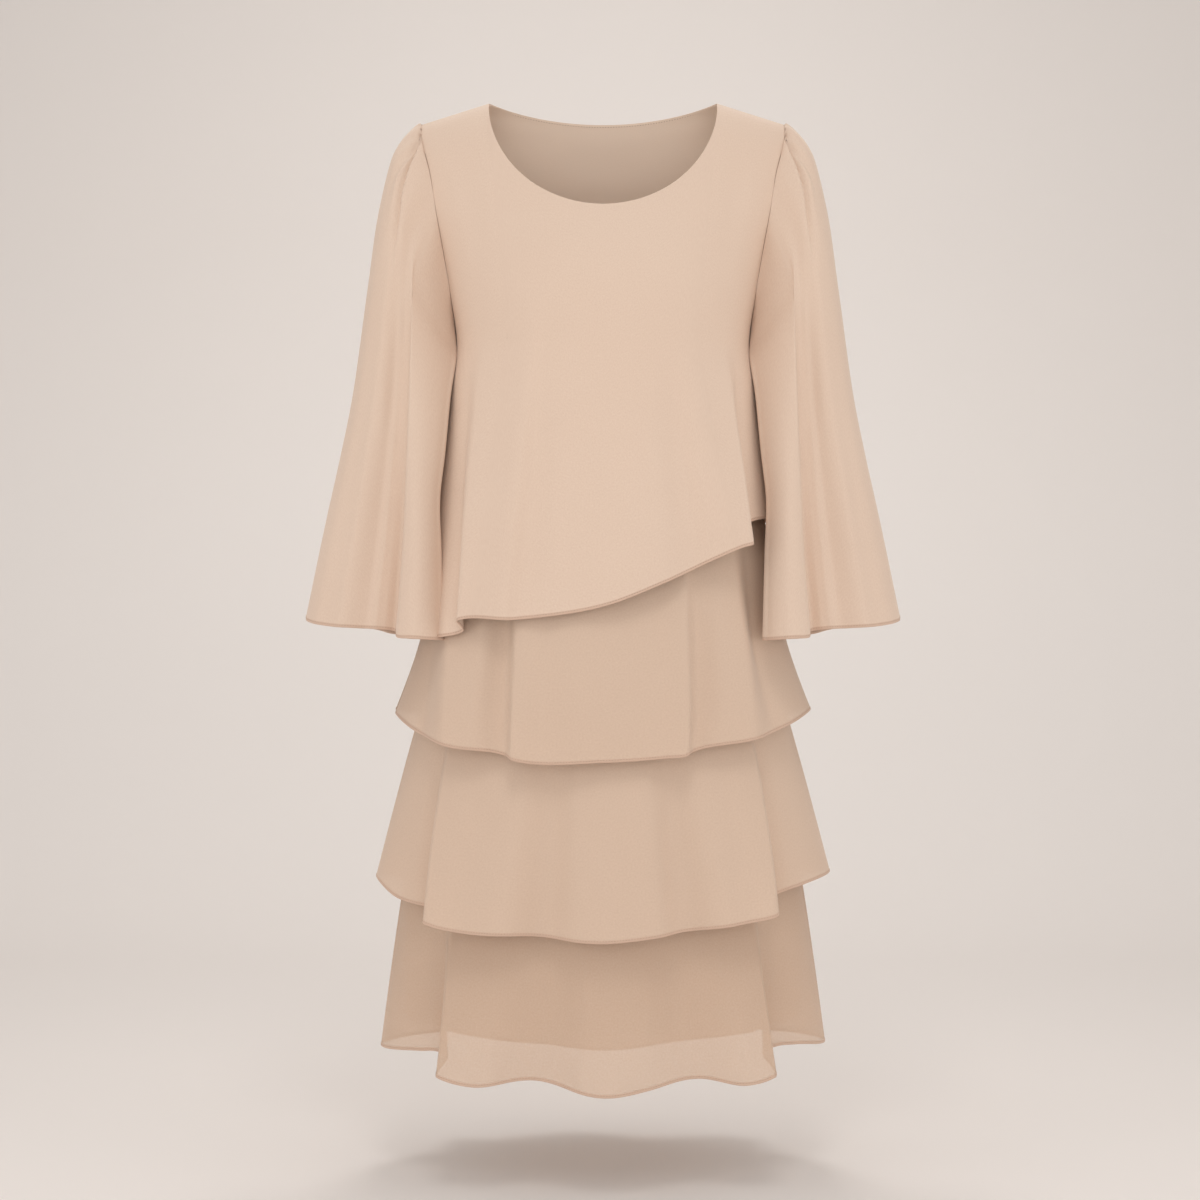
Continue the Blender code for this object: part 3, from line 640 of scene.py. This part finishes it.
SLEEVE_ROWS_APART, SLEEVE_LEVELS, SLEEVE_COLUMNS = 8.0, 160, 340
Level = namedtuple(
    "Level", "along outer outer_below seam seam_below front back fold fold_fore edge edge_fore tuck")
SLEEVE = (
    Level(0.00, 189.0, 11, 153.0, 243, 38, 38, 167, 36, 152.0, 9, 0),
    Level(0.04, 198, 15, 154, 247, 42, 41, 181, 40, 150.5, 14, 0.5),
    Level(0.10, 214, 37, 156, 254, 46, 43, 191, 47, 149.5, 26, 1.5),
    Level(0.20, 231, 96, 158.5, 268, 50, 46, 193.5, 56, 150.5, 38, 4),
    Level(0.33, 243.5, 180, 162.5, 297, 54, 48, 194.5, 65, 154.5, 50, 9),
    Level(0.50, 259, 290, 171, 357, 58, 50, 196.5, 75, 159.5, 68, 16),
    Level(0.62, 271.5, 352, 177, 403, 60, 51.5, 198, 81, 164, 79, 21),
    Level(0.75, 286, 417, 184, 453, 62, 53, 200, 86, 162.5, 87, 26),
    Level(1.00, 308, 522, 198, 543, 66, 56, 206.5, 93, 160, 98, 32),
)
# Where one level of the sleeve bends: from its outer edge round the front to a fold, over the lobe that
# hangs in front of it to the inner edge, and back round behind. Angles are in degrees.
Bend = namedtuple("Bend", "angle across fore drop")
FRONT_BENDS = (
    Bend(0, 1.0, 0.0, 0), Bend(20, 0.95, 0.4, 3), Bend(42, 0.76, 0.8, 5), Bend(64, 0.46, 1.0, 4),
    Bend(84, 0.15, 0.96, 2),
)
LOBE_BENDS = (
    Bend(94, -0.07, -1.0, 2), Bend(101, -0.035, -0.6, 3), Bend(106, 0, 0, 5), Bend(112, 0.09, 0.24, 5),
    Bend(126, 0.38, 0.44, 3), Bend(142, 0.68, 0.3, 2), Bend(155, 0.9, -0.02, 1.5), Bend(165, 1.0, -0.38, 1),
)
BACK_BENDS = (
    Bend(191, 0.01, 0.2, 0), Bend(205, 0.05, -0.35, 0), Bend(225, 0.15, -0.7, 0), Bend(250, 0.33, -0.95, 0),
    Bend(275, 0.54, -1.0, 0), Bend(300, 0.75, -0.85, 0), Bend(325, 0.9, -0.58, 0), Bend(345, 0.98, -0.26, 0),
    Bend(360, 1, 0, 0),
)
SEAM_ANGLE, SEAM_FORE = 179, 0.45
FULL_TUCK = 26.0  # the tuck with which the lobe's fold hangs over by all that LOBE_BENDS says
HEAD_SHARE = 0.12  # of the sleeve's length, over which the armhole's line becomes the sleeve's own
PUFF, PUFF_REACH, PUFF_RISE, PUFF_FOOT = 3.0, 65, 0.012, 0.2
PUFF_WAY = (0.55, 0.75, 0.5)  # outwards, forwards or back, and up
PLEAT_SWING, PLEAT_WIDENING, PLEAT_RISE = 2.2, 2.2, 0.003
GATHERS = (  # degrees from the top of the head, drift, widths on either side, and how far down each runs
    Crease(3, 4, 3.5, 3.5, 0, 0.09, -3.5), Crease(12, 14, 4.5, 2.5, 0, 0.12, -4.5),
    Crease(21, 17, 5, 2.5, 0, 0.2, -6), Crease(31, 27, 6, 2.5, 0, 0.34, -7),
    Crease(39, 10, 3, 3, 0, 0.05, -2.5),
)
SLEEVE_CREASES = (  # degrees round the sleeve, and shares of its length
    Crease(72, -4, 17, 10, 0.12, 1.6, -6), Crease(46, -4, 14, 14, 0.06, 1.6, -2.5),
    Crease(58, 14, 12, 14, 0.02, 0.45, -2), Crease(232, 4, 14, 20, 0.05, 1.6, -6),
    Crease(268, 4, 18, 16, 0.1, 1.6, 3), Crease(304, 6, 14, 14, 0.04, 1.6, -5),
)


def gathered(off, along):
    """How far the head puffs out beside its seam, and its small pleats draw it in again."""
    total = PUFF * bump(off / PUFF_REACH) * smooth(along / PUFF_RISE) * (1 - smooth(along / PUFF_FOOT))
    for pleat in GATHERS:
        run = min(along / pleat.foot, 1)
        from_middle = off - pleat.across - pleat.lean * smooth(run * PLEAT_SWING)
        spread = np.where(from_middle < 0, pleat.left, pleat.right) * (1 + PLEAT_WIDENING * run)
        rise, fade = smooth(along / PLEAT_RISE), 1 - smooth(run)
        total = total + pleat.depth * bump(from_middle / spread) * rise * fade
    return total


def sleeve(angle, along, hand):
    """The sleeve's outer face at one level. Angle 0 is its outer edge, 90 the front and 180 the underarm
    seam; hand is 1 for the right sleeve as one sees it and -1 for the left one, its mirror image."""
    level = Level(along, *(float(course(SLEEVE, along, column)) for column in Level._fields[1:]))
    bends = [Bend(bend.angle, mix(level.fold, level.outer, bend.across), bend.fore * level.front, bend.drop)
             for bend in FRONT_BENDS]
    for bend in LOBE_BENDS:
        across = bend.across * (level.tuck / FULL_TUCK if bend.across < 0 else 1)
        fore = mix(level.fold_fore, level.edge_fore, across) + bend.fore * level.tuck
        bends.append(Bend(bend.angle, mix(level.fold, level.edge, across), fore, bend.drop))
    bends.append(Bend(SEAM_ANGLE, level.seam, SEAM_FORE * level.edge_fore, 0))
    bends += [Bend(bend.angle, mix(level.seam, level.outer, bend.across), bend.fore * level.back, 0)
              for bend in BACK_BENDS]
    angle = angle % 360
    turn = np.radians(angle)
    x, y = course(bends, angle, "across"), -course(bends, angle, "fore")
    z = -mix(level.seam_below, level.outer_below, (1 + np.cos(turn)) / 2)
    z = z - course(bends, angle, "drop") * along ** 2
    moved = creased(angle, along, SLEEVE_CREASES)
    x, y = x + moved * np.cos(turn), y - moved * np.sin(turn)
    off = np.minimum(angle, 360 - angle)
    place = (off / 180) ** 1.5
    heads = [bodice(side, 2.0 + 0 * place, place, OVERLAYS[side]) for side in (FRONT, BACK)]
    head = np.where((angle <= 180)[..., None], *heads) + np.array((SEAM, 0, 0))
    points = mix(head, np.stack([x, y, z], axis=-1), smooth(along / HEAD_SHARE))
    out, fore, up = PUFF_WAY
    outward = np.stack([out + 0 * turn, -fore * np.sin(2 * turn), up + 0 * turn], axis=-1)
    return (points + outward * gathered(off, along)[..., None]) * np.array((hand, 1, 1))


SLEEVE_HEAD_ROWS = (3.5, 5, 7, 9, 11.5, 14, 17, 20, 24, 28, 33)
SLEEVE_HEAD = CUT_EDGE + tuple(SINGLE._replace(inward=inward) for inward in SLEEVE_HEAD_ROWS)
for end, hand in (("left", -1), ("right", 1)):
    lines = [lambda angle: sleeve(angle, 1.0, hand), lambda angle: sleeve(angle, 0.05, hand)]
    angles = even_places(lines, 180.0 - 1e-6, -180.0, SLEEVE_COLUMNS)[:-1]
    if hand < 0:
        angles = angles[::-1]
    levels = [sleeve(angles, along, hand) for along in np.linspace(0, 1, SLEEVE_LEVELS) ** 1.3]
    piece, hem_lines = sew(
        f"sleeve_{end}_cloth", np.array(levels), LINED_CHIFFON, SLEEVE_ROWS_APART, top=SLEEVE_HEAD, ring=True)
    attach(piece, "root")
    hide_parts(f"sleeve_{end}")
    stitches = stitch(f"sleeve_{end}_stitches", hem_lines)

# The studio: a pale paper sweep that rises behind the dress. Softboxes stand behind and below the camera
# and at both sides, two small ones overhead cast the shadow on the floor, and one lights the backdrop. The
# camera is level with the middle of the dress, 2.5 m from it.

FLOOR, SWEEP_START, SWEEP_RADIUS, SWEEP_HALF, SWEEP_TOP = -1.085, 1.4, 1.4, 6.0, 4.0
SWEEP_FRONT, SWEEP_STEPS = -6.0, 24
line = [(SWEEP_FRONT, FLOOR), (SWEEP_START, FLOOR)]
for step in range(1, SWEEP_STEPS + 1):
    turned = step / SWEEP_STEPS * math.pi / 2
    out, up = SWEEP_RADIUS * math.sin(turned), SWEEP_RADIUS * (1 - math.cos(turned))
    line.append((SWEEP_START + out, FLOOR + up))
line.append((SWEEP_START + SWEEP_RADIUS, SWEEP_TOP))
sweep_points = [(x, y, z) for y, z in line for x in (-SWEEP_HALF, SWEEP_HALF)]
sweep_faces = [(2 * i, 2 * i + 1, 2 * i + 3, 2 * i + 2) for i in range(len(line) - 1)]
sweep_mesh = bpy.data.meshes.new("paper sweep")
sweep_mesh.from_pydata(sweep_points, [], sweep_faces)
sweep_mesh.shade_smooth()
paper = bpy.data.materials.new("pale paper")
paper.use_nodes = True
paper_shader = paper.node_tree.nodes["Principled BSDF"]
paper_shader.inputs["Base Color"].default_value = (0.86, 0.81, 0.775, 1.0)
paper_shader.inputs["Roughness"].default_value = 0.95
paper_shader.inputs["Specular IOR Level"].default_value = 0.1
sweep_mesh.materials.append(paper)
sweep = bpy.data.objects.new("paper_sweep", sweep_mesh)
bpy.context.scene.collection.objects.link(sweep)

LIGHT_COLOUR = (1.0, 0.98, 0.96)
room = bpy.data.worlds.new("room")
room.use_nodes = True
room.node_tree.nodes["Background"].inputs["Color"].default_value = (*LIGHT_COLOUR, 1.0)
room.node_tree.nodes["Background"].inputs["Strength"].default_value = 0.61
bpy.context.scene.world = room
bpy.context.scene.view_settings.view_transform = "Standard"

Softbox = namedtuple("Softbox", "name place aim width height power spread")  # metres, watts and degrees
for box in (
    Softbox("front", (0.0, -3.7, -0.1), (0.0, 0.0, -0.5), 3.4, 1.9, 12.0, 180),
    Softbox("front low", (0.0, -2.7, -0.85), (0.0, 0.0, -0.3), 2.4, 0.4, 5.8, 180),
    Softbox("front top", (0.0, -1.4, 1.5), (0.0, -0.15, -1.05), 0.6, 0.8, 3.4, 110),
    Softbox("rear top", (0.0, 0.9, 1.6), (0.0, 0.1, -1.05), 0.6, 0.8, 4.0, 100),
    Softbox("left", (-2.4, -1.2, -0.5), (0.0, 0.0, -0.6), 1.4, 1.8, 13.0, 180),
    Softbox("right", (2.4, -1.2, -0.5), (0.0, 0.0, -0.6), 1.4, 1.8, 13.0, 180),
    Softbox("backdrop", (0.0, 1.3, 1.7), (0.0, 2.65, -0.35), 1.8, 0.5, 3.2, 85),
):
    lamp = bpy.data.lights.new(box.name, "AREA")
    lamp.shape = "RECTANGLE"
    lamp.size = box.width
    lamp.size_y = box.height
    lamp.energy = box.power
    lamp.spread = math.radians(box.spread)
    lamp.color = LIGHT_COLOUR
    light = bpy.data.objects.new(box.name, lamp)
    light.location = box.place
    light.rotation_euler = (Vector(box.aim) - Vector(box.place)).to_track_quat("-Z", "Y").to_euler()
    bpy.context.scene.collection.objects.link(light)

lens = bpy.data.cameras.new("camera")
lens.lens = 72.39
lens.sensor_width = 36
camera = bpy.data.objects.new("camera", lens)
camera.location = (-0.0031, -2.5, -0.5035)
camera.rotation_euler = (math.radians(90), 0, 0)
bpy.context.scene.collection.objects.link(camera)
bpy.context.scene.camera = camera
